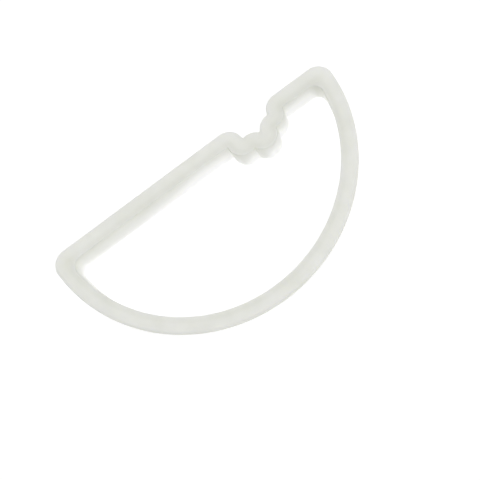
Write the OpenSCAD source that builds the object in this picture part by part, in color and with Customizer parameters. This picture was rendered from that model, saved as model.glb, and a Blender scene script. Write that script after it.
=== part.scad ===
// Half-moon ring with a scalloped notch in its straight side, moulded in one piece.
// In section it is an L: a flat rim on top, and a thin wall below the rim's inner edge.
// Each node is one stretch of that rim or wall, and the stretches meet face to face.
// The outline is the edge of the ring's window. The rim and the wall grow outward from it.
// The part lies flat: its wall stands on Z = 0, and the rim's broad face looks up +Z.
// +X runs along the straight side towards the notch, and the bow bulges to -Y.

/* [Outline] */
// Overall length along the straight side
length = 130; // [120:1:140]
// How far the window's straight side lies below the bow's centre
flat_inset = 3.6; // [1:0.2:6]
// Radius of the window's two far corners
corner_r = 4; // [1:0.5:5]

/* [Section] */
// Overall height, from the wall's free edge to the rim's face
height = 12; // [9:0.5:16]
// Width of the flat rim
rim_w = 6.5; // [6:0.1:7]
// Thickness of the flat rim
rim_t = 2.4; // [1.6:0.1:3.2]
// Thickness of the thin wall
wall_t = 1.5; // [1:0.1:2]

/* [Notch] */
// Distance of the notch from the middle of the straight side
notch_x = 29.2; // [24:0.2:34]
// Radius of each of the three scallops
scallop_r = 5.9; // [5.6:0.1:6.2]
// Spacing of the scallops along the notch
scallop_pitch = 7.1; // [6.8:0.1:7.4]
// How far the scallops' common line lies inside the window's straight side
notch_depth = 0.2; // [0:0.1:1]
// How much deeper the middle scallop lies
middle_drop = 3.9; // [3:0.1:4.2]
// Slant of the notch against the straight side
notch_slant = 8.6; // [4:0.2:10]

/* [Hidden] */
$fn = 240;

MILKY = [0.89, 0.895, 0.87];
MILKY_THIN = [0.94, 0.945, 0.925];

wall_h = height - rim_t;
// Half the length of the window's straight side, and the bow's radius through its ends.
half_flat = length / 2 - rim_w;
outline_r = norm([half_flat, flat_inset]);
// The bow's centre moves here, so that the origin is under the middle of the part.
centre_y = (outline_r + flat_inset) / 2;
reach = length;

// The scallops' centres, from the long side to the short side.
scallops = [
    for (p = [[-scallop_pitch, 0], [0, -middle_drop], [scallop_pitch, 0]])
        [notch_x, -flat_inset - notch_depth] + turned(p, notch_slant)
];
// The outline's corners round the notch: two on the straight side, two between scallops.
cusps = [
    [on_flat(scallops[0], -1), -flat_inset],
    between(scallops[0], scallops[1]),
    between(scallops[1], scallops[2]),
    [on_flat(scallops[2], 1), -flat_inset]
];
// Where the notch's stretch begins and ends, a little outside its corners.
stretch_margin = 1;
notch_x1 = cusps[0].x - stretch_margin;
notch_x2 = cusps[3].x + stretch_margin;

// Point p turned by angle a about the origin.
function turned(p, a) = [p.x * cos(a) - p.y * sin(a), p.x * sin(a) + p.y * cos(a)];

// Where a scallop crosses the straight side, on its left (side -1) or its right (side 1).
function on_flat(centre, side) =
    centre.x + side * sqrt(scallop_r * scallop_r - pow(flat_inset + centre.y, 2));

// The inner crossing of two neighbouring scallops, which are circles of one radius.
function between(a, b) =
    let (half = norm(b - a) / 2, along = (b - a) / norm(b - a))
        (a + b) / 2 + [along.y, -along.x] * sqrt(scallop_r * scallop_r - half * half);

// Slabs from z up to z + h, with the bow's centre at the origin.

module disc(centre, r, z, h) {
    translate([centre.x, centre.y, z]) cylinder(r = r, h = h);
}

module slab(low, high, z, h) {
    translate([low.x, low.y, z]) cube([high.x - low.x, high.y - low.y, h]);
}

// The outline without its notch, grown outward, with round corners.
module grown_half_moon(grow, z, h) {
    left = [-half_flat, -flat_inset];
    right = [half_flat, -flat_inset];
    intersection() {
        disc([0, 0], outline_r + grow, z, h);
        translate([0, 0, z]) linear_extrude(h)
            polygon([2 * left, left, right, 2 * right, [reach, -reach], [-reach, -reach]]);
    }
    slab([left.x, left.y - flat_inset], [right.x, right.y + grow], z, h);
    for (corner = [left, right]) disc(corner, grow, z, h);
}

// What the notch takes out of that shape: shrunken scallops, with round humps between.
module notch_gap(grow, z, h) {
    difference() {
        union() {
            translate([0, 0, z]) linear_extrude(h) polygon([
                [cusps[0].x, reach], cusps[0], scallops[0], cusps[1], scallops[1],
                cusps[2], scallops[2], cusps[3], [cusps[3].x, reach]
            ]);
            if (grow < scallop_r) for (c = scallops) disc(c, scallop_r - grow, z, h);
        }
        for (p = cusps) disc(p, grow, z - 1, h + 2);
    }
}

// What rounds the window's corner on its left (side -1) or its right (side 1).
module corner_fill(side, z, h) {
    depth = flat_inset + corner_r;
    c = [side * sqrt(pow(outline_r - corner_r, 2) - depth * depth), -depth];
    difference() {
        translate([0, 0, z]) linear_extrude(h) polygon([
            c, [c.x, wall_t - flat_inset], [side * (half_flat + wall_t), wall_t - flat_inset],
            c * (outline_r + wall_t) / (outline_r - corner_r)
        ]);
        disc(c, corner_r, z - 1, h + 2);
    }
}

// The space within the outline, with its two far corners rounded.
module window(z, h) {
    difference() {
        intersection() {
            disc([0, 0], outline_r, z, h);
            slab([-reach, -reach], [reach, -flat_inset], z, h);
        }
        for (side = [-1, 1]) corner_fill(side, z - 1, h + 2);
        for (c = scallops) disc(c, scallop_r, z - 1, h + 2);
    }
}

// A flat ring round the window: as wide as grow, from z up to z + h.
module ring(grow, z, h) {
    difference() {
        grown_half_moon(grow, z, h);
        notch_gap(grow, z - 1, h + 2);
        window(z - 1, h + 2);
    }
}

module rim_ring() { ring(rim_w, wall_h, rim_t); }

module wall_ring() { ring(wall_t, 0, wall_h); }

// The stretches that the ring is divided into.

module notch_stretch() {
    slab([notch_x1, -outline_r / 2], [notch_x2, reach], -1, height + 2);
}

module bow_stretch() {
    slab([-reach, -reach], [reach, -flat_inset], -1, height + 2);
}

module long_side_stretch() {
    slab([-reach, -flat_inset], [notch_x1, reach], -1, height + 2);
}

module short_side_stretch() {
    slab([notch_x2, -flat_inset], [reach, reach], -1, height + 2);
}

// Sub-parts: the flat rim.

module rim_bow() {
    color(MILKY) translate([0, centre_y, 0])
        difference() {
            intersection() { rim_ring(); bow_stretch(); }
            notch_stretch();
        }
}

module rim_long_side() {
    color(MILKY) translate([0, centre_y, 0]) intersection() { rim_ring(); long_side_stretch(); }
}

module rim_short_side() {
    color(MILKY) translate([0, centre_y, 0]) intersection() { rim_ring(); short_side_stretch(); }
}

module rim_notch() {
    color(MILKY) translate([0, centre_y, 0]) intersection() { rim_ring(); notch_stretch(); }
}

// Sub-parts: the thin wall below the rim's inner edge.

module wall_bow() {
    color(MILKY_THIN) translate([0, centre_y, 0])
        difference() {
            intersection() { wall_ring(); bow_stretch(); }
            notch_stretch();
        }
}

module wall_long_side() {
    color(MILKY_THIN) translate([0, centre_y, 0])
        intersection() { wall_ring(); long_side_stretch(); }
}

module wall_short_side() {
    color(MILKY_THIN) translate([0, centre_y, 0])
        intersection() { wall_ring(); short_side_stretch(); }
}

module wall_notch() {
    color(MILKY_THIN) translate([0, centre_y, 0]) intersection() { wall_ring(); notch_stretch(); }
}

rim_bow();
rim_long_side();
rim_short_side();
rim_notch();
wall_bow();
wall_long_side();
wall_short_side();
wall_notch();
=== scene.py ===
"""Half-moon ring of milky translucent plastic: the looks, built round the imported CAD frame.

The ring is one moulding, so it is one closed mesh. Its section is swept round the outline,
and every point of the section follows the outline's own offset curve at its distance.
"""
import math

import bpy
from mathutils import Matrix, Vector


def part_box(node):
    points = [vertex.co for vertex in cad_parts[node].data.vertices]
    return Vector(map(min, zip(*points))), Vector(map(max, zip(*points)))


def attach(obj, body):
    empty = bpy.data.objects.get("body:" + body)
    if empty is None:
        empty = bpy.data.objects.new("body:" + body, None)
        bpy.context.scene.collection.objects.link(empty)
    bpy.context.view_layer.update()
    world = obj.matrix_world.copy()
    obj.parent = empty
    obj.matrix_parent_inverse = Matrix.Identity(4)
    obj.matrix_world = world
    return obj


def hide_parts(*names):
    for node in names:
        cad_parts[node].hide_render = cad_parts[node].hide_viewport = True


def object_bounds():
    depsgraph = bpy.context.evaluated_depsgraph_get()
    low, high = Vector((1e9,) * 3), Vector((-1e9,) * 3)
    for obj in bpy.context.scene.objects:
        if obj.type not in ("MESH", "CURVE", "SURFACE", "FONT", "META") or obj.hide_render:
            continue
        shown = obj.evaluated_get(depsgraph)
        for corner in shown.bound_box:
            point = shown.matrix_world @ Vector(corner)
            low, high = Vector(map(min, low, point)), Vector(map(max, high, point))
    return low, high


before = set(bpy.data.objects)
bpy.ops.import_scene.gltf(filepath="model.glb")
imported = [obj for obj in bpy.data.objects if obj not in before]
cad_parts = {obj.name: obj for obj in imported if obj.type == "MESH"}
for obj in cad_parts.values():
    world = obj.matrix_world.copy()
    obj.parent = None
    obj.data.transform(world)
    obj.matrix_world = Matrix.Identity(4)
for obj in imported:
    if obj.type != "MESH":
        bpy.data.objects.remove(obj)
cad_low, cad_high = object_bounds()

MM = 0.001

# ---- Sizes from the frame ------------------------------------------------------------------
# The outline is the edge of the ring's window, and the rim and the wall grow out from it.
top_z = cad_high.z
rim_bottom_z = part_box("wall_bow")[1][2]
flat_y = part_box("rim_long_side")[0][1]  # the window's straight side
rim_w = cad_high.y - flat_y
wall_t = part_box("wall_long_side")[1][1] - flat_y
half_flat = (cad_high.x - cad_low.x) / 2 - rim_w
# The bow is the circle through the straight side's ends and the window's lowest point.
bow_depth = flat_y - (cad_low.y + rim_w)
outline_r = (half_flat ** 2 + bow_depth ** 2) / (2 * bow_depth)
centre_y = cad_low.y + rim_w + outline_r
flat_level = flat_y - centre_y  # the straight side, measured from the bow's centre

# ---- The notch, as the design states it ----------------------------------------------------
NOTCH_X = 29.2 * MM
SCALLOP_R = 5.9 * MM
SCALLOP_PITCH = 7.1 * MM
NOTCH_DEPTH = 0.2 * MM
MIDDLE_DROP = 3.9 * MM
NOTCH_SLANT = math.radians(8.6)

# ---- Softened edges, and the wall's draft --------------------------------------------------
EDGE_R = 1.0 * MM  # the rim's outer edges
LIP_R = 0.25 * MM  # the wall's free edge, and the rim's edge round the window
ROOT_R = 0.8 * MM  # the fillet between the rim's underside and the wall
WALL_TAPER = 0.35 * MM  # how much thinner the wall is at its free edge
CREASE_R = 0.5 * MM  # the least radius of the window's corners, seen from above
VALLEY_R = 0.6 * MM  # the least radius between two of the notch's humps
CORNER_R = 4 * MM  # the radius of the window's two far corners

# ---- How finely the mesh is divided --------------------------------------------------------
STRAIGHT_STEPS = {0: 72, 4: 18}  # the straight stretches, by the corner that each starts at
SCALLOP_STEPS = 18
CORNER_STEPS = [16, 12, 14, 14, 12, 16]  # the outline's corners, in order
BOW_STEPS = 190
ARC_STEPS = 6  # each rounded corner of the section
SECTION_CUTS = [4, 3, 8, 2, 10, 8]  # points added on the flat after each of those corners

# ---- Tone and painted shade, from 0 (palest) to 1 ------------------------------------------
RIM_TONE = 0.45  # the rim's face
# Painted shade: a darker line on the rim, over the wall.
RIDGE_SHADE = 0.6  # the darker line on the rim, over the wall
RIDGE_FADE = 1.6 * MM  # how far outside the wall that line has faded out
# Painted shade: the rim's outer side is darker.
SIDE_SHADE = 0.9  # the rim's outer side
# Painted shade down the wall: each is its shade at the top, under the rim, and the power of
# its fade to the paler free edge.
WALL_SHADE_PLAIN_END = Vector((0.86, 0.6))
WALL_SHADE_NOTCH_END = Vector((0.74, 2.0))
# Painted shade: darker where the window's edge faces away from the light at +X.
WALL_SHADE_AWAY = Vector((0.95, 0.45))  # where the window's edge turns to face the plain end
# Painted light: paler where the window's edge faces towards the light.
WALL_SHADE_TOWARDS = Vector((0.8, 1.0))  # where it turns to face the notch's end
# Painted light and shade along the wall: darker at the plain end, paler towards the notch's
# end.
WALL_CHANGE = (-30 * MM, 12 * MM)  # where the plain end passes into the notch's end
TURN_GAIN = 1.6  # how soon a turned edge takes on its own look

# ---- Materials -----------------------------------------------------------------------------
# The tint runs from the palest colour to the darkest; between them lie the rim's own tone and
# the painted shade and light.
PALE_COLOUR = (0.955, 0.96, 0.93, 1)
DARK_COLOUR = (0.72, 0.73, 0.675, 1)
# Painted light: an emission on the palest plastic, standing in for the bright background
# shining through.
PAINTED_GLOW = 0.11  # how much light comes through the thinnest plastic
# The tint value from which no painted glow shows.
PAINTED_GLOW_END = 0.4  # the depth from which none does
PAINTED_GLOW_COLOUR = (1.0, 1.0, 0.98, 1)
SCATTER_RADIUS = (1.0, 1.0, 0.9)  # of red, green and blue, as shares of the scale
SCATTER_SCALE = 4 * MM
PLASTIC_IOR = 1.49
ROUGHNESS = (0.42, 0.56)
BUMP_STRENGTH = 0.12
BUMP_DISTANCE = 0.2 * MM
NOISE_RANGE = (0.3, 0.7)  # about the least and the most that a noise texture gives
# The haze is the plastic's own random tone, laid over the painted shade.
HAZE = 0.13  # how far the milky haze shifts the depth
# Each is a noise texture's scale and its detail.
HAZE_NOISE = (90.0, 4.0)
GLOSS_NOISE = (260.0, 3.0)
GRAIN_NOISE = (900.0, 3.0)

WHITE = (1, 1, 1, 1)
FLOOR_COLOUR = (0.4, 0.4, 0.4, 1)
FLOOR_ROUGHNESS = 0.9
FLOOR_SPECULAR = 0.1
FLOOR_GLOW = 0.75  # brings the floor up to the photo's white

# ---- The stage and the camera --------------------------------------------------------------
FLOOR_REACH = 4.0
WORLD_STRENGTH = 0.45
# Each light's name, its direction and distance from the origin, its width and its watts.
LIGHTS = [
    ("key", Vector((-0.05, 0.3, 1.0)), 1.2, 0.7, 4.05),
    ("window", Vector((0.65, -0.7, 0.5)), 0.8, 0.3, 0.8),
]
VIEW_AZIMUTH = math.radians(4.85)  # from the ring's -Y side, towards +X
VIEW_ELEVATION = math.radians(71.05)
VIEW_ROLL = math.radians(-40.96)
VIEW_DISTANCE = 0.4087
VIEW_AIM = Vector((-0.72, -3.41, 0)) * MM  # from the middle of the ring's box
LENS_MM = 81.2
CLIP_START = 0.01


def link(name, data):
    """A new object of that name in the scene, which holds data."""
    item = bpy.data.objects.new(name, data)
    bpy.context.scene.collection.objects.link(item)
    return item


# ---- The outline and its offset curves -----------------------------------------------------
def unit(angle):
    """The vector of length 1 at angle."""
    return Vector((math.cos(angle), math.sin(angle)))


def angle_of(v):
    """The angle that v points at."""
    return math.atan2(v.y, v.x)


def scallop_centres():
    """The three scallops' centres, from the long side to the short side."""
    along, across = unit(NOTCH_SLANT), unit(NOTCH_SLANT + math.pi / 2)
    middle = Vector((NOTCH_X, flat_level - NOTCH_DEPTH))
    return [middle - along * SCALLOP_PITCH, middle - across * MIDDLE_DROP,
            middle + along * SCALLOP_PITCH]


SCALLOPS = scallop_centres()


def crossing(a, b, r, side):
    """Where circles of radius r round a and b cross, left (1) or right (-1) of a to b."""
    half = (b - a).length / 2
    along = (b - a).normalized()
    return (a + b) / 2 + Vector((-along.y, along.x)) * side * math.sqrt(r ** 2 - half ** 2)


def corner(index, level):
    """Corner index of the outline drawn in by -level, where level is zero or less."""
    y = flat_level + level
    if index in (0, 5):  # the straight side meets the bow
        x = math.sqrt((outline_r + level) ** 2 - y ** 2)
        return Vector((-x if index == 0 else x, y))
    r = SCALLOP_R - level
    if index in (1, 4):  # the straight side meets a scallop
        c = SCALLOPS[0] if index == 1 else SCALLOPS[2]
        x = math.sqrt(r ** 2 - (y - c.y) ** 2)
        return Vector((c.x - x if index == 1 else c.x + x, y))
    return crossing(SCALLOPS[index - 2], SCALLOPS[index - 1], r, -1)


def spread(a, b, count):
    """count values from a towards b, without b."""
    return [a + (b - a) * i / count for i in range(count)]


def turned(start, end, count, way):
    """count angles from start towards end, without end: way 1 is counter-clockwise, -1 not."""
    turn = (way * (end - start)) % (2 * math.pi)
    return spread(start, start + way * turn, count)


def offset_curve(distance):
    """The outline drawn out by distance, clockwise from the straight side's far corner.

    Every curve has the same number of points, in step with each other. A corner of the
    outline becomes an arc round it, and so does each valley between two such arcs.
    """
    level = min(0.0, distance - CREASE_R)
    end_level = min(level, -CORNER_R * (1 - distance / wall_t))
    levels = [end_level, level, level, level, level, end_level]
    q = [corner(i, levels[i]) for i in range(6)]
    hump_r = distance - level
    # A scallop's own circle, or, further out, the circle that rests on the two humps.
    reach = max(SCALLOP_R - level, hump_r + VALLEY_R)
    valleys = [crossing(q[i], q[i + 1], reach, 1) for i in (1, 2, 3)]
    up = math.pi / 2

    def facing(i, valley):
        return angle_of(valleys[valley] - q[i])

    # The way the outline faces before and after each corner.
    before = [angle_of(q[0]), up, facing(2, 0), facing(3, 1), facing(4, 2), up]
    after = [up, facing(1, 0), facing(2, 1), facing(3, 2), up, angle_of(q[5])]
    points = []
    for i in range(6):
        turns = turned(before[i], after[i], CORNER_STEPS[i], -1)
        points += [q[i] + unit(a) * (distance - levels[i]) for a in turns]
        if i in STRAIGHT_STEPS:
            xs = spread(q[i].x, q[i + 1].x, STRAIGHT_STEPS[i])
            points += [Vector((x, flat_level + distance)) for x in xs]
        elif i == 5:
            turns = turned(angle_of(q[5]), angle_of(q[0]), BOW_STEPS, -1)
            points += [unit(a) * (outline_r + distance) for a in turns]
        else:
            c = valleys[i - 1]
            turns = turned(angle_of(q[i] - c), angle_of(q[i + 1] - c), SCALLOP_STEPS, 1)
            points += [c + unit(a) * (reach - hump_r) for a in turns]
    return points


# ---- The section ---------------------------------------------------------------------------
def rounded(centre, start, end, r):
    """An arc of radius r round centre, from the angle start to the angle end."""
    turns = [start + (end - start) * i / ARC_STEPS for i in range(ARC_STEPS + 1)]
    return [centre + unit(a) * r for a in turns]


def between(a, b, cuts):
    """Evenly spaced points between a and b, as many as cuts."""
    return [a.lerp(b, (i + 1) / (cuts + 1)) for i in range(cuts)]


def section():
    """The L section as (distance from the outline, height), clockwise from the top edge."""
    right, down, left, up = 0.0, -math.pi / 2, -math.pi, math.pi / 2
    foot = wall_t - WALL_TAPER
    arcs = [
        rounded(Vector((rim_w - EDGE_R, top_z - EDGE_R)), up, right, EDGE_R),
        rounded(Vector((rim_w - EDGE_R, rim_bottom_z + EDGE_R)), right, down, EDGE_R),
        rounded(Vector((wall_t + ROOT_R, rim_bottom_z - ROOT_R)), up, 2 * up, ROOT_R),
        rounded(Vector((foot - LIP_R, LIP_R)), right, down, LIP_R),
        rounded(Vector((LIP_R, LIP_R)), down, left, LIP_R),
        rounded(Vector((LIP_R, top_z - LIP_R)), left, left - up, LIP_R),
    ]
    loop = []
    for i, arc in enumerate(arcs):
        following = arcs[(i + 1) % len(arcs)][0]
        loop += arc + between(arc[-1], following, SECTION_CUTS[i])
    return loop


def fade(value, start, end):
    """1 up to start, 0 from end on, and a smooth step between."""
    t = min(1.0, max(0.0, (value - start) / (end - start)))
    return 1 - t * t * (3 - 2 * t)


def depth_at(p, x, facing):
    """The tint at point p of the section: the rim's own tone, with painted shade and light.

    x is its place along the straight side, and facing is how far the window's edge faces +X.
    """
    # The window's face: painted shade under the rim, fading to a pale free edge; paler towards
    # the notch's end and where the edge faces +X, towards the light.
    if p.x < LIP_R / 2:  # the face round the window
        wall = WALL_SHADE_NOTCH_END.lerp(WALL_SHADE_PLAIN_END, fade(x, *WALL_CHANGE))
        turned_wall = WALL_SHADE_AWAY if facing < 0 else WALL_SHADE_TOWARDS
        wall = wall.lerp(turned_wall, min(1.0, TURN_GAIN * abs(facing)))
        return wall[0] * (p.y / top_z) ** wall[1]
    # The wall's outer face takes the plain end's painted shade.
    if p.y < rim_bottom_z:  # the wall's outer face
        return WALL_SHADE_PLAIN_END[0] * (p.y / top_z) ** WALL_SHADE_PLAIN_END[1]
    # On the rim: its own tone, a painted shade line over the wall, and painted shade on its
    # outer side.
    over_wall = fade(p.x, wall_t, wall_t + RIDGE_FADE)
    side = fade(rim_w - p.x, 0.0, EDGE_R / 2)
    return RIM_TONE + (RIDGE_SHADE - RIM_TONE) * over_wall + (SIDE_SHADE - RIM_TONE) * side


def make_ring(material):
    """The ring, as one closed mesh: the section's points, swept round the outline."""
    profile = section()
    curves = [offset_curve(p.x) for p in profile]
    rows, columns = len(curves[0]), len(profile)
    verts, depths, faces = [], [], []
    for i in range(rows):
        n = (i + 1) % rows
        for j, (curve, p) in enumerate(zip(curves, profile)):
            along = curve[n] - curve[i - 1]
            verts.append((curve[i].x, curve[i].y + centre_y, p.y))
            depths.append(depth_at(p, curve[i].x, along.y / along.length))
            k = (j + 1) % columns
            faces.append((i * columns + j, n * columns + j, n * columns + k, i * columns + k))
    mesh = bpy.data.meshes.new("ring")
    mesh.from_pydata(verts, [], faces)
    # The rim's own tone and the painted shade and light, kept as a point attribute.
    mesh.attributes.new("depth", "FLOAT", "POINT").data.foreach_set("value", depths)
    mesh.validate()
    mesh.shade_smooth()
    mesh.materials.append(material)
    return link("ring", mesh)


# ---- Shader nodes --------------------------------------------------------------------------
def new_material(name):
    """A material of that name, with its node tree and its shader."""
    material = bpy.data.materials.new(name)
    material.use_nodes = True
    return material, material.node_tree, material.node_tree.nodes["Principled BSDF"]


def noise(tree, coords, scale, detail):
    """A noise texture's value at coords."""
    n = tree.nodes.new("ShaderNodeTexNoise")
    n.inputs["Scale"].default_value = scale
    n.inputs["Detail"].default_value = detail
    tree.links.new(coords, n.inputs["Vector"])
    return n.outputs["Fac"]


def ramp(tree, value, low, high, start=NOISE_RANGE[0], end=NOISE_RANGE[1]):
    """value brought from the range start to end into the range low to high."""
    r = tree.nodes.new("ShaderNodeMapRange")
    r.inputs["To Min"].default_value = low
    r.inputs["To Max"].default_value = high
    r.inputs["From Min"].default_value = start
    r.inputs["From Max"].default_value = end
    tree.links.new(value, r.inputs["Value"])
    return r.outputs["Result"]


def milky_plastic():
    """The ring's plastic, tinted by the mesh's painted shade and light and by a faint haze."""
    material, tree, shader = new_material("milky_plastic")
    nodes, links = tree.nodes, tree.links
    coords = nodes.new("ShaderNodeTexCoord").outputs["Object"]
    depth = nodes.new("ShaderNodeAttribute")
    depth.attribute_name = "depth"
    haze = ramp(tree, noise(tree, coords, *HAZE_NOISE), -HAZE, HAZE)
    total = nodes.new("ShaderNodeMath")
    total.operation = "ADD"
    total.use_clamp = True
    links.new(depth.outputs["Fac"], total.inputs[0])
    links.new(haze, total.inputs[1])
    # Painted shade and light, with the haze, mix the palest and the darkest colours.
    tint = nodes.new("ShaderNodeMix")
    tint.data_type = "RGBA"
    tint.inputs["A"].default_value = PALE_COLOUR
    tint.inputs["B"].default_value = DARK_COLOUR
    links.new(total.outputs["Value"], tint.inputs["Factor"])
    links.new(tint.outputs["Result"], shader.inputs["Base Color"])
    # Painted light: an emission where the tint is palest, for the bright background that shows
    # through the thin plastic.
    painted_glow = ramp(tree, depth.outputs["Fac"], PAINTED_GLOW, 0.0, 0.0, PAINTED_GLOW_END)
    links.new(painted_glow, shader.inputs["Emission Strength"])
    shader.inputs["Emission Color"].default_value = PAINTED_GLOW_COLOUR
    shader.inputs["Subsurface Weight"].default_value = 1.0
    shader.inputs["Subsurface Radius"].default_value = SCATTER_RADIUS
    shader.inputs["Subsurface Scale"].default_value = SCATTER_SCALE
    shader.inputs["IOR"].default_value = PLASTIC_IOR
    gloss = noise(tree, coords, *GLOSS_NOISE)
    links.new(ramp(tree, gloss, *ROUGHNESS), shader.inputs["Roughness"])
    bump = nodes.new("ShaderNodeBump")
    bump.inputs["Strength"].default_value = BUMP_STRENGTH
    bump.inputs["Distance"].default_value = BUMP_DISTANCE
    links.new(noise(tree, coords, *GRAIN_NOISE), bump.inputs["Height"])
    links.new(bump.outputs["Normal"], shader.inputs["Normal"])
    return material


def floor_material():
    """The pale, dull floor, which glows like the photo's blown-out background."""
    material, _, shader = new_material("floor")
    shader.inputs["Base Color"].default_value = FLOOR_COLOUR
    shader.inputs["Roughness"].default_value = FLOOR_ROUGHNESS
    shader.inputs["Specular IOR Level"].default_value = FLOOR_SPECULAR
    shader.inputs["Emission Color"].default_value = WHITE
    shader.inputs["Emission Strength"].default_value = FLOOR_GLOW
    return material


# ---- The stage and the camera --------------------------------------------------------------
def make_floor():
    """A square floor that the ring stands on."""
    reach, z = FLOOR_REACH, cad_low.z
    verts = [(-reach, -reach, z), (reach, -reach, z), (reach, reach, z), (-reach, reach, z)]
    mesh = bpy.data.meshes.new("floor")
    mesh.from_pydata(verts, [], [(0, 1, 2, 3)])
    mesh.materials.append(floor_material())
    link("floor", mesh)


def area_light(name, direction, distance, size, watts):
    """A round light in that direction from the origin, which shines back at it."""
    data = bpy.data.lights.new(name, "AREA")
    data.shape = "DISK"
    data.size = size
    data.energy = watts
    light = link(name, data)
    light.location = direction.normalized() * distance
    light.rotation_mode = "QUATERNION"
    light.rotation_quaternion = direction.to_track_quat("Z", "Y")


def make_lights():
    """An even white surround, and the lights of LIGHTS."""
    world = bpy.data.worlds.new("studio")
    world.use_nodes = True
    background = world.node_tree.nodes["Background"]
    background.inputs["Color"].default_value = WHITE
    background.inputs["Strength"].default_value = WORLD_STRENGTH
    bpy.context.scene.world = world
    for light in LIGHTS:
        area_light(*light)


def make_camera():
    """The photo's view: from VIEW_AZIMUTH and VIEW_ELEVATION, rolled by VIEW_ROLL."""
    flat = math.cos(VIEW_ELEVATION)
    back = Vector((math.sin(VIEW_AZIMUTH) * flat, -math.cos(VIEW_AZIMUTH) * flat,
                   math.sin(VIEW_ELEVATION)))
    data = bpy.data.cameras.new("camera")
    data.lens = LENS_MM
    data.clip_start = CLIP_START
    camera = link("camera", data)
    turn = back.to_track_quat("Z", "Y").to_matrix() @ Matrix.Rotation(VIEW_ROLL, 3, "Z")
    place = (cad_low + cad_high) / 2 + VIEW_AIM + back * VIEW_DISTANCE
    camera.matrix_world = Matrix.Translation(place) @ turn.to_4x4()
    bpy.context.scene.camera = camera


bpy.context.scene.view_settings.view_transform = "Standard"
make_camera()
make_lights()
make_floor()
ring = make_ring(milky_plastic())
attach(ring, "root")
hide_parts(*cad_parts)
